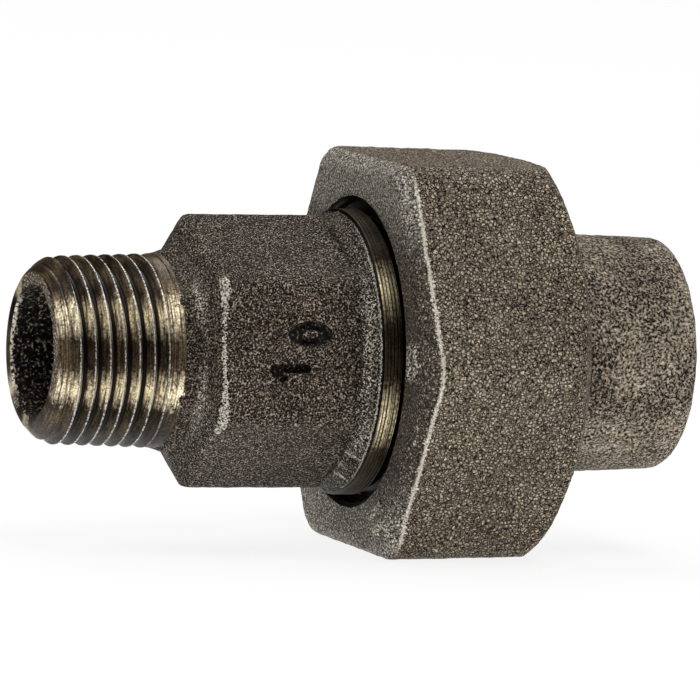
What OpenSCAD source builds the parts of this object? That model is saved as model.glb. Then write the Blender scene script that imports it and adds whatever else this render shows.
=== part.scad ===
// Male and female pipe union in malleable iron, size 3/8, with a flat gasket seat.
// The flow axis lies along X, the male end at -X, and the nut lies on one of its flats.

/* [Pipe thread] */
// Outside diameter of the taper pipe thread at its gauge plane
pipe_d = 16.662; // [15:0.001:18]
// Pitch of the pipe thread
pipe_pitch = 1.337; // [1.2:0.001:1.5]
// Depth of the pipe thread
pipe_depth = 0.856; // [0.7:0.001:0.9]
// Length from the male end to the gauge plane
gauge_len = 6.4; // [5:0.1:8]
// Length of thread on the male end
male_thread_len = 11; // [9:0.1:13]
// Length of the bevel that starts the male thread
start_bevel = 1.1; // [0.6:0.1:1.6]
// Length of the female socket
socket_len = 11.5; // [10:0.1:12.5]
// Length of the bevel in the socket's mouth
socket_bevel = 1; // [0.5:0.1:1.5]

/* [Union thread] */
// Outside diameter of the thread that the nut runs on
union_d = 26; // [25.7:0.1:26.4]
// Pitch of the union thread
union_pitch = 1.5; // [1.4:0.05:1.6]
// Depth of the thread on the male half
union_depth = 0.92; // [0.8:0.01:0.95]
// Radial clearance between the two union threads
union_play = 0.15; // [0.12:0.01:0.2]
// Axial clearance on each flank of the union thread
flank_play = 0.1; // [0.08:0.01:0.14]
// Length of thread on the male half
union_len = 6; // [5:0.1:7]

/* [Male half] */
// Diameter of the cast flow bore
flow_d = 11.2; // [9:0.1:12]
// Length of the cast root behind the male thread
root_len = 1.8; // [1.2:0.1:2.4]
// Diameter where the root meets the hexagon's shoulder
root_d = 18.1; // [17.6:0.1:19]
// Width of the hexagon across its flats
hex_af = 21; // [20.4:0.1:21.6]
// Diameter that the hexagon's corners are rounded to
hex_corner_d = 23.86; // [22.5:0.02:24.2]
// Length of the slope from the root up to the hexagon
shoulder_len = 1.4; // [1:0.1:3]
// Bevel of the edge between that slope and the hexagon
hex_edge = 0.4; // [0.1:0.1:0.5]
// Length from the shoulder's foot to the collar's rim
hex_len = 15; // [13:0.1:18]
// Turn of this hexagon against the nut's
hex_turn = 6.5; // [0:0.5:30]
// Diameter of the collar's rim
rim_d = 24.7; // [24.3:0.1:24.9]
// Length over which the hexagon opens out to the rim
flare_len = 2.4; // [1.6:0.1:3.5]
// Diameter of the turned band behind the rim
band_d = 25; // [24.6:0.1:25.2]
// Length of the turned band
band_len = 1.8; // [1.4:0.1:2]
// Width of the groove that the union thread runs out into
relief_len = 1; // [0.8:0.1:1.4]

/* [Gasket] */
// Thickness of the gasket as clamped
gasket_t = 1.6; // [1:0.1:2.5]
// Hole through the gasket
gasket_hole_d = 12.6; // [12:0.1:15]

/* [Female half] */
// Thickness of the collar that the nut pulls on
collar_t = 3.6; // [2.5:0.1:5]
// Body diameter beside the collar
body_d = 21.6; // [20.6:0.1:21.8]
// Body diameter at the socket's mouth
mouth_d = 20.5; // [19.5:0.1:20.6]
// Length of the body from the collar to the mouth
body_len = 16.7; // [14.5:0.1:20]
// Rounding of the mouth's outer edge
mouth_edge = 1; // [0.4:0.1:1.5]
// Flow bore behind the socket
tail_flow_d = 12; // [10:0.1:13]

/* [Nut] */
// Width across the flats at the nut's open face
nut_af = 34.6; // [33.8:0.1:36]
// Width across the flats at the lip end, smaller by the casting draft
nut_af_lip = 34; // [32.6:0.1:34.2]
// Rounding of the nut's six corners
nut_corner_r = 2.5; // [1:0.1:3]
// Rounding of the edges round the open face
face_edge = 1.3; // [0.6:0.1:2]
// Diameter of the flat face at the lip end
lip_face_d = 30.6; // [28:0.1:31]
// Diameter that the steep bevel round that face opens out to
lip_bevel_d = 36.2; // [34.6:0.1:36.5]
// Length of the steep bevel
lip_bevel = 1.6; // [1:0.1:2]
// Diameter that the softer bevel on the corners opens out to
lip_corner_d = 39.2; // [38:0.1:39.4]
// Length from the lip end to the end of the softer bevel
lip_soft = 3.6; // [3:0.1:5]
// Length of the open recess before the nut's thread
recess_len = 1.1; // [0.8:0.1:1.3]
// Length from the open face to the end of the nut's thread
nut_thread_end = 8.2; // [7.8:0.1:8.6]
// Thickness of the lip that holds the collar
lip_t = 4.3; // [3.4:0.1:5]
// Reach of the nut past the gasket, over the male half
nut_reach = 7.2; // [6.8:0.1:7.4]

/* [Fits] */
// Radial gap between the lip and the female body
lip_gap = 0.35; // [0.25:0.05:0.5]
// Radial gap between the collar or gasket and the nut's thread
collar_gap = 0.2; // [0.1:0.05:0.4]
// Axial gap between the lip and the collar
lip_play = 0.1; // [0.05:0.05:0.2]

/* [Hidden] */
$fn = 96;
// Small overlap that lets cuts pass right through a face
cut = 1;
// Thickness of the slices that a rounded body is drawn over
slice = 0.01;
// Straight steps in one turn of a thread
thread_steps = 40;
// Room left above a crest by the cutter of a thread
over_crest = 0.06;
// Radius gained per length of a pipe taper of 1 in 16 on diameter
pipe_taper = 1 / 32;

// Stations along the axis, from the male end
shoulder_z = male_thread_len + root_len;
rim_z = shoulder_z + hex_len;
relief_z = rim_z + band_len;
union_z = relief_z + relief_len;
male_len = union_z + union_len;
collar_z = male_len + gasket_t;
body_z = collar_z + collar_t;
overall_len = body_z + body_len;
nut_z = male_len - nut_reach;
lip_z = body_z + lip_play;
nut_len = lip_z + lip_t - nut_z;

// Union thread: flanks at 60 degrees, with the flats of the pitch line half a pitch wide
union_flank = tan(30);
union_crest_r = union_d / 2;
union_root_r = union_crest_r - union_depth;
union_pitch_r = union_crest_r - 3 / 8 * union_pitch * cos(30);
nut_minor_r = union_root_r + union_play + union_play / 2;
nut_major_r = union_crest_r + union_play;
recess_r = nut_major_r + over_crest;
relief_r = union_root_r - union_play;
cavity_r = nut_major_r + union_play;
collar_r = nut_minor_r - collar_gap;
lip_r = body_d / 2 + lip_gap;

// Pipe thread: flanks at 55 degrees, with crest and root flats of a sixth of the pitch
pipe_flank = tan(27.5);
pipe_root_half = pipe_pitch / 12;
socket_r = pipe_d / 2 - pipe_depth;

function crest_r(z) = pipe_d / 2 + (z - gauge_len) * pipe_taper;
function hex_r(af) = af / 2 / cos(30);

// Half width of the male half's groove, and of the nut's groove, at one radius
function groove_half(r) = union_pitch / 4 + (r - union_pitch_r) * union_flank;
function nut_groove_half(r) = union_pitch / 4 - (r - union_pitch_r) * union_flank + flank_play;

// Points of one thread cutter: four corners a step, climbing one pitch a turn
// Each corner is [radius, offset along the axis], and the last turn moves out by the run-out
function cutter_points(corners, pitch, z, turns, slope, run_out) =
    let (steps = ceil(turns * thread_steps))
    [for (i = [0 : steps], c = corners)
        let (
            a = 360 * i / thread_steps,
            climb = pitch * i / thread_steps,
            last_turn = max(0, 1 + (i - steps) / thread_steps),
            r = c[0] + climb * slope + last_turn * run_out
        )
        [r * cos(a), r * sin(a), z + climb + c[1]]];

// Faces that close the cutter: two triangles on each side of each step, and a cap at each end
function cutter_faces(steps) = concat(
    [[0, 1, 2], [0, 2, 3]],
    [for (i = [0 : steps - 1], k = [0 : 3])
        let (a = 4 * i + k, b = 4 * i + (k + 1) % 4)
        each [[a, a + 4, b], [b, a + 4, b + 4]]],
    [[4 * steps, 4 * steps + 2, 4 * steps + 1], [4 * steps, 4 * steps + 3, 4 * steps + 2]]);

// A cutter sweeps its corners round the axis, from z onwards
module thread_cutter(corners, pitch, z, turns, slope = 0, run_out = 0)
    polyhedron(cutter_points(corners, pitch, z, turns, slope, run_out),
               cutter_faces(ceil(turns * thread_steps)), convexity = 10);

// Moves a piece drawn along Z from the male end to its place along X
module on_flow_axis()
    rotate([0, 90, 0]) translate([0, 0, -overall_len / 2]) children();

// Solid shape of the male half: thread blank, root, hexagon, flare, band and union thread blank
module male_blank() {
    rotate_extrude() polygon([
        [0, 0], [crest_r(0) - start_bevel, 0], [crest_r(start_bevel), start_bevel],
        [crest_r(male_thread_len), male_thread_len], [root_d / 2, shoulder_z], [0, shoulder_z]]);
    shoulder();
    hex_bar(shoulder_z + shoulder_len, hex_len - shoulder_len, hex_af, hex_corner_d);
    flare();
    translate([0, 0, rim_z]) cylinder(d = band_d, h = band_len);
    translate([0, 0, relief_z]) cylinder(r = relief_r, h = relief_len);
    rotate_extrude() polygon([
        [0, union_z], [relief_r, union_z], [union_crest_r, union_z + union_depth],
        [union_crest_r, male_len - union_depth], [union_root_r, male_len], [0, male_len]]);
}

// A length of the male half's hexagon, with its corners rounded to a diameter
module hex_bar(z, h, af, corner_d)
    intersection() {
        translate([0, 0, z]) rotate(-hex_turn) cylinder(r = hex_r(af), h = h, $fn = 6);
        translate([0, 0, z]) cylinder(d = corner_d, h = h);
    }

// The round root opens out to the hexagon, whose front edge is bevelled
module shoulder()
    hull() {
        translate([0, 0, shoulder_z]) cylinder(d = root_d, h = slice, $fn = 48);
        hex_bar(shoulder_z + shoulder_len - hex_edge, slice, hex_af - 2 * hex_edge, hex_corner_d - 2 * hex_edge,
                $fn = 48);
        hex_bar(shoulder_z + shoulder_len, slice, hex_af - slice, hex_corner_d - slice, $fn = 48);
    }

// The hexagon opens out to the collar's round rim; its foot starts just inside the flats
module flare()
    hull() {
        hex_bar(rim_z - flare_len, slice, hex_af - slice, hex_corner_d - slice, $fn = 48);
        translate([0, 0, rim_z - slice]) cylinder(d = rim_d, h = slice, $fn = 48);
    }

module male_half()
    color("#3a3631") on_flow_axis() difference() {
        male_blank();
        translate([0, 0, -cut]) cylinder(d = flow_d, h = male_len + 2 * cut);
        pipe_grooves();
        union_grooves();
    }

// Groove of the taper pipe thread, which runs out behind the last full turn
module pipe_grooves() {
    start_z = -pipe_pitch;
    root_r = crest_r(start_z) - pipe_depth;
    out_r = crest_r(start_z) + over_crest;
    out_half = pipe_root_half + (out_r - root_r) * pipe_flank;
    thread_cutter([[root_r, -pipe_root_half], [root_r, pipe_root_half], [out_r, out_half], [out_r, -out_half]],
                  pipe_pitch, start_z, (male_thread_len - start_z) / pipe_pitch - 0.5, pipe_taper,
                  pipe_depth + over_crest);
}

// Groove of the union thread, from its relief out past the seat face
module union_grooves() {
    out_r = union_crest_r + over_crest;
    in_half = groove_half(union_root_r);
    out_half = groove_half(out_r);
    thread_cutter([[union_root_r, -in_half], [union_root_r, in_half], [out_r, out_half], [out_r, -out_half]],
                  union_pitch, relief_z + relief_len / 2, (union_len + relief_len) / union_pitch + 0.5);
}

module seat_gasket()
    color("#6b4a36") on_flow_axis() translate([0, 0, male_len]) difference() {
        cylinder(r = collar_r, h = gasket_t);
        translate([0, 0, -cut]) cylinder(d = gasket_hole_d, h = gasket_t + 2 * cut);
    }

// Collar, drafted body and socket; the socket is bored to the thread's tapping size
module female_half() {
    socket_z = overall_len - socket_len;
    color("#5a554c") on_flow_axis() difference() {
        union() {
            translate([0, 0, collar_z]) cylinder(r = collar_r, h = collar_t);
            rotate_extrude() polygon([
                [0, body_z - cut], [body_d / 2, body_z - cut], [body_d / 2, body_z],
                for (a = [0 : 15 : 90])
                    [mouth_d / 2 - mouth_edge * (1 - cos(a)), overall_len - mouth_edge * (1 - sin(a))],
                [0, overall_len]]);
        }
        translate([0, 0, collar_z - cut]) cylinder(d = tail_flow_d, h = overall_len - collar_z);
        translate([0, 0, socket_z]) cylinder(r = socket_r, h = socket_len + cut);
        translate([0, 0, overall_len - socket_bevel])
            cylinder(r1 = socket_r, r2 = socket_r + socket_bevel, h = socket_bevel);
    }
}

// One rounded hexagonal slice of the nut, its flats facing up and down
module nut_slice(z, af)
    translate([0, 0, z]) rotate(30) linear_extrude(slice)
        offset(r = nut_corner_r, $fn = 24) circle(r = hex_r(af - 2 * nut_corner_r), $fn = 6);

// Drafted hexagon, its edges rounded at the open face and bevelled in two steps at the lip end
module nut_body()
    intersection() {
        hull() {
            for (a = [0 : 30 : 90])
                nut_slice(face_edge * (1 - cos(a)), nut_af - 2 * face_edge * (1 - sin(a)));
            nut_slice(nut_len - slice, nut_af_lip);
        }
        rotate_extrude() polygon([
            [0, 0], [hex_r(nut_af), 0], [hex_r(nut_af), nut_len - lip_soft], [lip_corner_d / 2, nut_len - lip_soft],
            [lip_bevel_d / 2, nut_len - lip_bevel], [lip_face_d / 2, nut_len], [0, nut_len]]);
    }

module union_nut() {
    in_r = nut_minor_r - over_crest;
    in_half = nut_groove_half(in_r);
    out_half = nut_groove_half(nut_major_r);
    // the nut's groove holds the male half's ridge, half a pitch from its groove
    groove_z = relief_z + relief_len / 2 - union_pitch / 2;
    groove_turns = (nut_z + nut_thread_end - groove_z) / union_pitch + 0.5;
    color("#4d4840") on_flow_axis() difference() {
        translate([0, 0, nut_z]) nut_body();
        translate([0, 0, nut_z - cut]) cylinder(r = nut_minor_r, h = nut_thread_end + 2 * cut);
        translate([0, 0, nut_z - cut]) cylinder(r = recess_r, h = recess_len + cut);
        translate([0, 0, nut_z + nut_thread_end]) cylinder(r = cavity_r, h = lip_z - nut_z - nut_thread_end);
        translate([0, 0, lip_z - cut]) cylinder(r = lip_r, h = lip_t + 2 * cut);
        thread_cutter([[in_r, -in_half], [in_r, in_half], [nut_major_r, out_half], [nut_major_r, -out_half]],
                      union_pitch, groove_z, groove_turns);
    }
}

male_half();
seat_gasket();
female_half();
union_nut();
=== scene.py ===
# Pipe union in black malleable iron: male half, union nut, gasket and female half
import math

import bpy
from mathutils import Matrix, Vector


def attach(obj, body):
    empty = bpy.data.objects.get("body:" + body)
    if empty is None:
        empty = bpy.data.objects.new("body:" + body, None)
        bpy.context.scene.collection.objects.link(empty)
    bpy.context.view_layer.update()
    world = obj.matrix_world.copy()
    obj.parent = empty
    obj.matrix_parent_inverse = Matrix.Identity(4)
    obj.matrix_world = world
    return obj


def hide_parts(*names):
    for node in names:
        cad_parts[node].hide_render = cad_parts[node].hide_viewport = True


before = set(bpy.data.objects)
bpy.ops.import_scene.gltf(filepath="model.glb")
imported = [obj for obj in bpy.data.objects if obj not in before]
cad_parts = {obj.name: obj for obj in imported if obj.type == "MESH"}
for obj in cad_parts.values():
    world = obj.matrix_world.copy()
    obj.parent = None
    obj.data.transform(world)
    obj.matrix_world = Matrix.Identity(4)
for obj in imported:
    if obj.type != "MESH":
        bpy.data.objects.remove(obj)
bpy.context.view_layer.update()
print("frame loaded")

mm = 0.001
midStation = 29.25  # mm from the male end face to the frame's origin
weldGap = 0.002  # mm, vertices closer than this are merged
cutGap = 0.0001  # mm, how near a vertex may lie to a cut
roundSteps = 96
fineSteps = 128
smoothBelow = 40  # degrees between faces that shade as one surface
sameStation = 0.05  # mm, how near to its station a cap or its corners lie
strokeRound = 0.35  # share of a stroke's thinner side that its edges are rounded by


# Stations run along the flow axis in mm from the male end, and turns go round it from straight down
def alongAxis(station):
    return (station - midStation) * mm


def spot(station, radius, turn=0.0):
    return Vector((alongAxis(station), radius * mm * math.sin(turn), -radius * mm * math.cos(turn)))


def stationOf(point):
    return point.x / mm + midStation


def radiusOf(point):
    return math.hypot(point.y, point.z) / mm


def pickOnly(piece):
    if bpy.context.object and bpy.context.object.mode != "OBJECT":
        bpy.ops.object.mode_set(mode="OBJECT")
    bpy.ops.object.select_all(action="DESELECT")
    piece.select_set(True)
    bpy.context.view_layer.objects.active = piece


def startEdit(piece, pick="SELECT", kind="VERT"):
    pickOnly(piece)
    bpy.ops.object.mode_set(mode="EDIT")
    bpy.ops.mesh.select_mode(type=kind)
    bpy.ops.mesh.select_all(action=pick)


def endEdit():
    bpy.ops.object.mode_set(mode="OBJECT")


# Picks the edges or faces that pass the test, and stays in edit mode
def editPicked(piece, kind, items, test):
    startEdit(piece, "DESELECT", kind)
    endEdit()
    for item in items:
        item.select = test(item)
    bpy.ops.object.mode_set(mode="EDIT")


def closeUp(piece):
    startEdit(piece)
    bpy.ops.mesh.remove_doubles(threshold=weldGap * mm)
    bpy.ops.mesh.normals_make_consistent(inside=False)
    endEdit()


def useModifier(piece, kind, **settings):
    pickOnly(piece)
    modifier = piece.modifiers.new(kind, kind)
    for key, value in settings.items():
        setattr(modifier, key, value)
    bpy.ops.object.modifier_apply(modifier=modifier.name)


def combine(piece, tool, how):
    useModifier(piece, "BOOLEAN", operation=how, object=tool, solver="MANIFOLD")
    bpy.data.objects.remove(tool, do_unlink=True)


# An outline is drawn straight below the axis, vertex by vertex, as (station, radius)
def drawOutline(name, outline):
    bpy.ops.object.select_all(action="DESELECT")
    bpy.ops.mesh.primitive_plane_add(size=mm, location=(0, 0, 0))
    piece = bpy.context.object
    piece.name = name
    startEdit(piece)
    bpy.ops.mesh.merge(type="CENTER")
    bpy.ops.transform.translate(value=spot(*outline[0]))
    for here, there in zip(outline, outline[1:]):
        step = spot(*there) - spot(*here)
        bpy.ops.mesh.extrude_region_move(TRANSFORM_OT_translate={"value": step})
    endEdit()
    return piece


def turnRing(name, outline, steps=roundSteps):
    piece = drawOutline(name, outline)
    startEdit(piece)
    bpy.ops.mesh.spin(steps=steps, angle=math.tau, center=(0, 0, 0), axis=(1, 0, 0))
    endEdit()
    closeUp(piece)
    return piece


# A solid turned on the lathe, its outline closed down to the axis at both ends
def turnSolid(name, outline, steps=roundSteps):
    return turnRing(name, [(outline[0][0], 0)] + outline + [(outline[-1][0], 0)], steps)


# A quarter of an ellipse, which leaves its start along the axis and meets its end square to it
def quarterArc(start, end, step):
    arc = []
    for degrees in range(0, 91, step):
        turn = math.radians(degrees)
        arc.append((start[0] + (end[0] - start[0]) * math.sin(turn),
                    start[1] + (end[1] - start[1]) * (1 - math.cos(turn))))
    return arc


# One tooth, from groove to groove, is wound up into a threaded rod and cut off square at both ends
def windThread(name, tooth, pitch, turns, start, end):
    piece = drawOutline(name, tooth)
    useModifier(piece, "SCREW", axis="X", angle=math.tau, screw_offset=pitch * mm,
                iterations=turns, steps=roundSteps, render_steps=roundSteps)
    closeUp(piece)
    for station, side in ((start, True), (end, False)):
        startEdit(piece)
        bpy.ops.mesh.bisect(plane_co=spot(station, 0), plane_no=(1, 0, 0), use_fill=True,
                            clear_inner=side, clear_outer=not side, threshold=cutGap * mm)
        endEdit()
    closeUp(piece)
    return piece


def toothOutline(shape, groove, pitch, rootRadius, depth):
    half = [(groove + along * pitch, rootRadius + up * depth) for along, up in shape]
    other = [(2 * groove + pitch - station, radius) for station, radius in reversed(half)]
    return half + other[1:]


# A hexagonal bar along the axis, its long corners rounded
def addHexagon(name, look, start, end, turn):
    bpy.ops.object.select_all(action="DESELECT")
    middle = spot((start + end) / 2, 0)
    radius = look["flats"] / math.sqrt(3) * mm
    bpy.ops.mesh.primitive_cylinder_add(vertices=6, radius=radius, location=middle,
                                        depth=(end - start) * mm, rotation=(0, math.pi / 2, 0))
    piece = bpy.context.object
    piece.name = name
    bpy.ops.object.transform_apply(location=True, rotation=True, scale=True)
    mesh = piece.data
    mesh.transform(Matrix.Rotation(turn, 4, "X"))

    def runsAlong(edge):
        first, second = [mesh.vertices[i].co.x for i in edge.vertices]
        return abs(first - second) > mm

    editPicked(piece, "EDGE", mesh.edges, runsAlong)
    setBack = look["cornerRound"] * math.tan(math.radians(30)) * mm
    bpy.ops.mesh.bevel(offset=setBack, segments=6, profile=0.5)
    endEdit()
    return piece


def pickCap(piece, station):
    def isCap(face):
        return abs(stationOf(face.center) - station) < sameStation and abs(face.normal.x) > 0.9

    editPicked(piece, "FACE", piece.data.polygons, isCap)


# The picked cap is pulled out along the axis and scaled about it
def pullCap(along, scale):
    bpy.ops.mesh.extrude_region_move(TRANSFORM_OT_translate={"value": (along * mm, 0, 0)})
    bpy.ops.transform.resize(value=(1, scale, scale), center_override=(0, 0, 0))


def roundOff(piece, station, radius):
    for vertex in piece.data.vertices:
        if abs(stationOf(vertex.co) - station) < sameStation:
            turn = math.atan2(vertex.co.y, -vertex.co.z)
            vertex.co = spot(station, radius, turn)


def addLumps(piece, look, layers):
    skin = bpy.data.textures.new(piece.name + "Skin", "CLOUDS")
    skin.noise_scale = look["lump"] * mm
    skin.noise_depth = layers
    useModifier(piece, "DISPLACE", texture=skin, texture_coords="LOCAL", mid_level=0.5,
                strength=look["lumpHeight"] * mm)


def softenCasting(piece, look):
    useModifier(piece, "REMESH", mode="VOXEL", voxel_size=look["voxel"] * mm)
    useModifier(piece, "SMOOTH", factor=0.5, iterations=look["soften"])
    addLumps(piece, look, 2)


# A bar with rounded edges, for raised and sunk marks
def addStroke(name, length, width, depth):
    bpy.ops.object.select_all(action="DESELECT")
    bpy.ops.mesh.primitive_cube_add(size=1)
    piece = bpy.context.object
    piece.name = name
    bpy.ops.transform.resize(value=(length * mm, width * mm, depth * mm))
    bpy.ops.object.transform_apply(location=True, rotation=True, scale=True)
    startEdit(piece)
    bpy.ops.mesh.bevel(offset=min(width, depth) * strokeRound * mm, segments=3, affect="EDGES")
    endEdit()
    return piece


def finishShape(piece):
    pickOnly(piece)
    bpy.ops.object.shade_smooth_by_angle(angle=math.radians(smoothBelow))
    print(piece.name, len(piece.data.polygons), "faces")


# Threads. Half a tooth is (share of the pitch, share of the depth): root, straight flank, narrow crest
pipeTooth = [(0, 0), (0.07, 0), (0.12, 0.06), (0.40, 0.84), (0.44, 0.96), (0.465, 1), (0.5, 1)]
metricTooth = [(0, 0), (0.083, 0), (0.42, 0.95), (0.445, 1), (0.5, 1)]
tapTooth = [(0, 0), (0.06, 0), (0.38, 0.95), (0.42, 1), (0.5, 1)]
pipeThread = {"pitch": 1.337, "depth": 0.856, "crest": 8.331, "gauge": 6.4, "taper": 1 / 32}
unionThread = {
    "pitch": 1.5, "rootRadius": 12.08, "depth": 0.92, "groove": 30.1, "start": 30.6, "end": 36.6, "turns": 9,
    "blank": [(30.6, 11.98), (31.5, 13.1), (35.7, 13.1), (36.6, 12.12)],
}


def makePipeThread(name, start, end, groove):
    pitch, depth = pipeThread["pitch"], pipeThread["depth"]
    tooth = toothOutline(pipeTooth, groove, pitch, pipeThread["crest"] - depth, depth)
    turns = math.ceil((end - groove) / pitch) + 1
    return windThread(name, tooth, pitch, turns, start, end)


def taperThread(piece, thread):
    for vertex in piece.data.vertices:
        grow = 1 + (stationOf(vertex.co) - thread["gauge"]) * thread["taper"] / thread["crest"]
        vertex.co.y *= grow
        vertex.co.z *= grow


# Male half: taper thread, cast hexagon with its flare, turned band and union thread
maleLook = {
    "voxel": 0.22, "soften": 3, "lump": 0.9, "lumpHeight": 0.09,
    "flats": 21.0, "cornerRound": 1.25, "hexTurn": -36.5, "hexStart": 14.2, "hexEnd": 26.6,
    "edgeSteps": [(0.35, 0.12), (0.3, 0.4)],
    "rootStation": 12.75, "rootRadius": 9.05, "rootEnd": 10.55, "rootEndRadius": 8.36,
    "flareFoot": 24.6, "flareSink": 0.35, "rimStation": 27.8, "rimEdge": 0.2, "rimRadius": 12.33,
    "threadBevel": [(0, 6.75), (0.2, 7.08), (0.9, 7.75), (1.5, 8.12), (1.7, 9)], "threadEnd": 11.2,
    "washout": [(8.6, 7.35), (9.9, 8.2), (10.5, 8.4), (11.2, 8.47)],
}
# rim groove, band with fine turning marks, relief, then the core under the union thread
bandLook = {
    "foot": [(26.4, 11.2), (27.75, 12.2), (27.86, 12.2), (27.95, 12.46)],
    "start": 27.98, "radius": 12.5,
    "marks": 5, "markStep": 0.31, "markFlat": 0.2, "markRun": 0.255, "markRadius": 12.44,
    "relief": [(29.55, 12.5), (29.62, 12.42), (29.7, 11.95), (30.7, 11.95), (36.2, 11.95)],
}
boreShape = {"radius": 5.6, "end": 36.6, "mouth": 0.16, "mouthEnd": 0.192, "overrun": 1, "steps": 80,
             "firstRing": 0.69, "ringGap": 0.45, "rings": 79, "lump": 1.0, "lumpHeight": 0.3}


def makeMaleThread(look):
    # wound from three pitches before the end, so that its first turn is whole
    rod = makePipeThread("maleThread", 0, look["threadEnd"], -3 * pipeThread["pitch"])
    taperThread(rod, pipeThread)
    # the bevel that starts the thread, and the washout that fills its last grooves
    outside = look["threadBevel"] + [(look["threadEnd"], look["threadBevel"][-1][1])]
    combine(rod, turnSolid("threadBlank", outside), "INTERSECT")
    combine(rod, turnSolid("washout", look["washout"]), "UNION")
    return rod


def makeMaleCasting(look):
    turn = math.radians(look["hexTurn"])
    piece = addHexagon("maleHalf", look, look["hexStart"], look["hexEnd"], turn)
    pickCap(piece, look["hexStart"])
    for along, inward in look["edgeSteps"]:
        pullCap(-along, 1 - 2 * inward / look["flats"])
    # the slope down to the round root
    edge = look["hexStart"] - sum(along for along, inward in look["edgeSteps"])
    pullCap(look["rootStation"] - edge, 1)
    endEdit()
    roundOff(piece, look["rootStation"], look["rootRadius"])
    pickCap(piece, look["rootStation"])
    pullCap(look["rootEnd"] - look["rootStation"], look["rootEndRadius"] / look["rootRadius"])
    endEdit()
    closeUp(piece)
    foot = (look["flareFoot"], look["flats"] / 2 - look["flareSink"])
    rim = (look["rimStation"], look["rimRadius"])
    arc = quarterArc(foot, (rim[0] - look["rimEdge"], rim[1]), 10)
    combine(piece, turnSolid("flare", arc + [rim]), "UNION")
    return piece


def makeTurnedEnd(look):
    outline = list(look["foot"])
    for i in range(look["marks"]):
        left = look["start"] + i * look["markStep"]
        outline += [(left, look["radius"]), (left + look["markFlat"], look["radius"]),
                    (left + look["markRun"], look["markRadius"])]
    piece = turnSolid("turnedEnd", outline + look["relief"], fineSteps)
    t = unionThread
    tooth = toothOutline(metricTooth, t["groove"] - 2 * t["pitch"], t["pitch"], t["rootRadius"], t["depth"])
    thread = windThread("unionThread", tooth, t["pitch"], t["turns"], t["start"], t["end"])
    combine(thread, turnSolid("unionBlank", t["blank"]), "INTERSECT")
    combine(piece, thread, "UNION")
    return piece


# Rings close together along the bore carry its lumps
def makeBore(look):
    radius, overrun = look["radius"], look["overrun"]
    mouth = radius + look["mouth"]
    outline = [(-overrun, mouth), (0, mouth), (look["mouthEnd"], radius)]
    outline += [(look["firstRing"] + i * look["ringGap"], radius) for i in range(look["rings"])]
    piece = turnSolid("maleBore", outline + [(look["end"] + overrun, radius)], look["steps"])
    addLumps(piece, look, 3)
    return piece


# A plain recessed 10, the nominal bore in mm, read upwards along the front flat
markLook = {
    "station": 21.0, "turn": 263.5, "height": 3.6, "stroke": 0.8, "gap": 1.5, "slant": 0.9, "depth": 0.5,
    "flagShare": 0.5, "flagTurn": -40, "flagAlong": -0.33, "flagAcross": -0.14,
    "loopRadius": 0.72, "loopHeight": 1.9,
}


def markFrame(look):
    turn = math.radians(look["turn"])
    outward = Vector((0, math.sin(turn), -math.cos(turn)))
    upward = Vector((0, outward.z, -outward.y))
    origin = spot(look["station"], 0) + outward * maleLook["flats"] / 2 * mm
    axes = Matrix((Vector((1, 0, 0)), upward, outward)).transposed()
    return Matrix.Translation(origin) @ axes.to_4x4()


def shiftFlat(along, across):
    return Matrix.Translation((along * mm, across * mm, 0))


def makeMark(look):
    stand = markFrame(look)
    height, stroke, thick = look["height"], look["stroke"], 2 * look["depth"]
    one = addStroke("markStem", height, stroke, thick)
    flag = addStroke("markFlag", height * look["flagShare"], stroke, thick)
    flag.data.transform(Matrix.Rotation(math.radians(look["flagTurn"]), 4, "Z"))
    flag.data.transform(shiftFlat(height * look["flagAlong"], height * look["flagAcross"]))
    combine(one, flag, "UNION")
    one.data.transform(stand @ shiftFlat(-look["slant"], -look["gap"]))
    bpy.ops.object.select_all(action="DESELECT")
    bpy.ops.mesh.primitive_torus_add(major_radius=look["loopRadius"] * mm, minor_radius=stroke / 2 * mm,
                                     major_segments=40, minor_segments=12)
    nought = bpy.context.object
    nought.data.transform(Matrix.Diagonal((height / look["loopHeight"], 1, thick / stroke, 1)))
    nought.data.transform(stand @ shiftFlat(look["slant"], look["gap"]))
    combine(one, nought, "UNION")
    return one


maleHalf = makeMaleCasting(maleLook)
softenCasting(maleHalf, maleLook)
combine(maleHalf, makeMark(markLook), "DIFFERENCE")
combine(maleHalf, makeMaleThread(maleLook), "UNION")
combine(maleHalf, makeTurnedEnd(bandLook), "UNION")
combine(maleHalf, makeBore(boreShape), "DIFFERENCE")
finishShape(maleHalf)

# Union nut: cast hexagon with a parting line, bevelled lip end, and its thread cut inside
nutLook = {
    "voxel": 0.26, "soften": 2, "lump": 0.8, "lumpHeight": 0.14,
    "flats": 34.46, "lipFlats": 33.9, "cornerRound": 2.5, "partingLine": 30.7, "lipEnd": 46.15,
    "faceSteps": [(30.3, 34.2), (29.85, 33.4), (29.58, 32.4), (29.45, 31.4)],
    "blank": [(28, 21), (42.6, 21), (42.6, 19.5), (44.6, 18.0), (46.1, 15.3), (46.15, 15.1)],
    "bars": [(267, 15.1), (267, 16.6), (326, 15.5), (326, 17.0)],
    "barLength": 3.2, "barWidth": 0.8, "barProud": 0.5,
    "minorRadius": 12.305, "majorRadius": 13.15, "tapStart": 28.8, "tapEnd": 38.4, "tapTurns": 11,
    "boreStart": 28, "mouthRadius": 13.71, "mouthEnd": 29.4, "recessRadius": 13.21, "recess": (29.75, 30.5),
    "thread": (31.3, 36.9), "cavityRadius": 13.3, "cavity": (37.7, 41.9),
    "lipRadius": 11.15, "lipBoreEnd": 45.7, "lipMouthRadius": 11.75, "lipMouth": (46.4, 47.5),
}


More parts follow.
